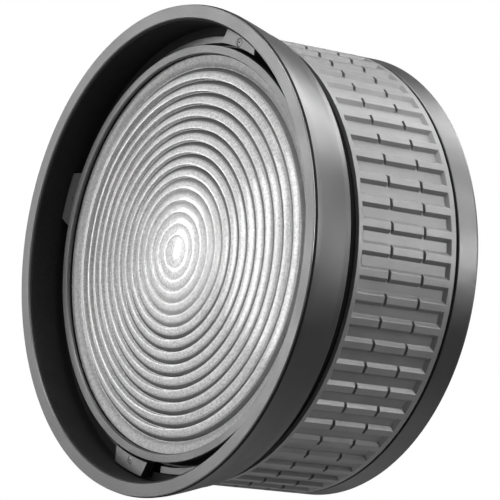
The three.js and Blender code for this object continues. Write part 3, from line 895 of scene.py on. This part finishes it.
def retaining_ring():
    front, rear = front_of("retaining_ring"), rear_of("retaining_ring")
    r = radius_of("retaining_ring")
    bore = r - 4.4
    outline = rounded([(bore, rear, 0), (bore, front + 0.6, 0.1), (bore + 0.5, front, 0.12),
                       (r, front, 0.3), (r, rear, 0.1)])
    piece = to_object("lens_ring", turned(outline))
    dress(piece, GREY_ANODISED, "lens_carriage", "grey_anodised", "retaining_ring")


def lens_cell():
    front, rear, r = front_of("lens_cell"), rear_of("lens_cell"), radius_of("lens_cell")
    outline = rounded([
        (CELL_POCKET_R, front, 0.1), (r, front, 0.2), (r, rear, 0.3), (CELL_BORE_R, rear, 0.3),
        (CELL_BORE_R, CELL_LIP_REAR, 0.3), (CELL_LIP_R, CELL_LIP_REAR, 0.2),
        (CELL_LIP_R, CELL_LIP_FRONT, 0.1), (CELL_POCKET_R, CELL_LIP_FRONT, 0),
    ])
    piece = to_object("cell", turned(outline))
    dress(piece, MATTE_BLACK, "lens_carriage", "matte_black", "lens_cell")


def plain_ring(name, node, width, finish, slot):
    """A gasket or glide band of the lens carriage, with softened edges."""
    front, rear, r = front_of(node), rear_of(node), radius_of(node)
    edge = min(0.25, (rear - front) / 3)
    outline = rounded([(r - width, front, edge), (r, front, edge), (r, rear, edge),
                       (r - width, rear, edge)])
    dress(to_object(name, turned(outline)), finish, "lens_carriage", slot, node)


# Kept CAD nodes ---------------------------------------------------------------------


def paint_kept_nodes():
    """Materials for the CAD nodes that stay: collar, follower pins and bushes."""
    finishes = {"focus_collar": GREY_ANODISED}
    for i in range(1, SLOT_COUNT + 1):
        finishes[f"follower_pin_{i}"] = STEEL
        finishes[f"follower_bush_{i}"] = POLYMER
    for node, finish in finishes.items():
        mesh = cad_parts[node].data
        mesh.materials.clear()
        mesh.materials.append(finish)


# Stage ------------------------------------------------------------------------------


def floor():
    """A wide pale floor well below the head, which is held in the air."""
    bm = bmesh.new()
    bmesh.ops.create_circle(bm, cap_ends=True, segments=96, radius=FLOOR_R)
    bm.transform(Matrix.Translation((0, 0, FLOOR_Z)))
    plane = to_object("studio_floor", bm)
    n = Nodes("pale_floor")
    n.set(Roughness=0.8)
    tone = n.colours(n.noise(3.0), grey(0.70), grey(0.73))
    n.link(tone, n.shader.inputs["Base Color"])
    n.link(tone, n.shader.inputs["Emission Color"])
    n.link(n.add("ShaderNodeLightPath").outputs["Is Camera Ray"],
           n.shader.inputs["Emission Strength"])
    plane.data.materials.append(n.material)


def area_light(name, place, target, size, height, power):
    data = bpy.data.lights.new(name, "AREA")
    data.shape = "RECTANGLE"
    data.size = size
    data.size_y = height
    data.energy = power
    light = bpy.data.objects.new(name, data)
    light.location = place
    aim = Vector(target) - Vector(place)
    light.rotation_mode = "QUATERNION"
    light.rotation_quaternion = aim.to_track_quat("-Z", "Y")
    bpy.context.scene.collection.objects.link(light)


def lights():
    middle = (0, -0.06, 0)
    area_light("top_softbox", (0.1, 0.0, 1.3), middle, 0.5, 0.5, 30)
    area_light("top_front_softbox", (0.2, -1.0, 1.2), middle, 0.8, 0.5, 13)
    area_light("top_back_softbox", (0.1, 0.95, 0.95), middle, 0.7, 0.6, 13)
    area_light("side_high_softbox", (0.95, 0.70, 0.80), middle, 0.4, 0.3, 9)
    area_light("side_softbox", (1.17, 0.84, 0.30), middle, 0.3, 0.35, 15)
    area_light("right_softbox", (1.15, -0.4, 1.0), middle, 0.6, 0.6, 16)
    area_light("left_softbox", (-1.12, -1.15, 0.22), middle, 0.5, 0.7, 10)
    area_light("front_softbox", (-0.1, -1.6, 0.1), middle, 0.5, 1.6, 25)
    area_light("far_side_softbox", (-1.5, 0.0, 0.35), middle, 0.6, 0.7, 8)
    area_light("back_softbox", (0.5, 1.5, 0.2), middle, 0.45, 0.6, 4)


def sky():
    """A white surround that lights the head only gently."""
    world = bpy.data.worlds.new("studio")
    bpy.context.scene.world = world
    world.use_nodes = True
    tree = world.node_tree
    background = tree.nodes["Background"]
    place = tree.nodes.new("ShaderNodeTexCoord")
    split = tree.nodes.new("ShaderNodeSeparateXYZ")
    tree.links.new(place.outputs["Generated"], split.inputs[0])
    height = tree.nodes.new("ShaderNodeMapRange")
    height.inputs["From Min"].default_value = -0.3
    height.inputs["From Max"].default_value = 0.8
    height.inputs["To Min"].default_value = WORLD_LOW
    height.inputs["To Max"].default_value = WORLD_HIGH
    tree.links.new(split.outputs["Z"], height.inputs["Value"])
    path = tree.nodes.new("ShaderNodeLightPath")
    level = tree.nodes.new("ShaderNodeMix")
    level.inputs["B"].default_value = 1.0
    tree.links.new(path.outputs["Is Camera Ray"], level.inputs["Factor"])
    tree.links.new(height.outputs["Result"], level.inputs["A"])
    tree.links.new(level.outputs["Result"], background.inputs["Strength"])
    background.inputs["Color"].default_value = (1, 1, 1, 1)


def camera():
    data = bpy.data.cameras.new("camera")
    data.lens = CAMERA_LENS
    data.sensor_width = 36
    cam = bpy.data.objects.new("camera", data)
    azimuth, elevation = math.radians(CAMERA_AZIMUTH), math.radians(CAMERA_ELEVATION)
    back = Vector((math.sin(azimuth) * math.cos(elevation),
                   -math.cos(azimuth) * math.cos(elevation), math.sin(elevation)))
    cam.location = CAMERA_TARGET + back * CAMERA_DISTANCE
    cam.rotation_mode = "QUATERNION"
    roll = Quaternion((0, 0, 1), math.radians(CAMERA_ROLL))
    cam.rotation_quaternion = (-back).to_track_quat("-Z", "Y") @ roll
    bpy.context.scene.collection.objects.link(cam)
    bpy.context.scene.camera = cam


# Build ------------------------------------------------------------------------------

camera()
lights()
sky()
floor()

front_rim()
front_barrel()
guide_tube()
for number, degrees in enumerate(spread(CLAMP_COUNT, CLAMP_FIRST_DEG), 1):
    clamp_plate(number, degrees)
clamp_screws()
dust_seal()
thrust_washer()
rear_housing()
light_baffle()
mount_ring()
housing_screws()
mount_screws()
focus_grip()
lens_cell()
fresnel_lens()
retaining_ring()
plain_ring("front_gasket", "front_lens_gasket", 2.4, SEAL_RUBBER, "black_rubber")
plain_ring("rear_gasket", "rear_lens_gasket", 3.0, SEAL_RUBBER, "black_rubber")
plain_ring("glide_1", "glide_band_1", 1.2, POLYMER, "black_polymer")
plain_ring("glide_2", "glide_band_2", 1.2, POLYMER, "black_polymer")
paint_kept_nodes()

bpy.context.scene.view_settings.view_transform = "Standard"
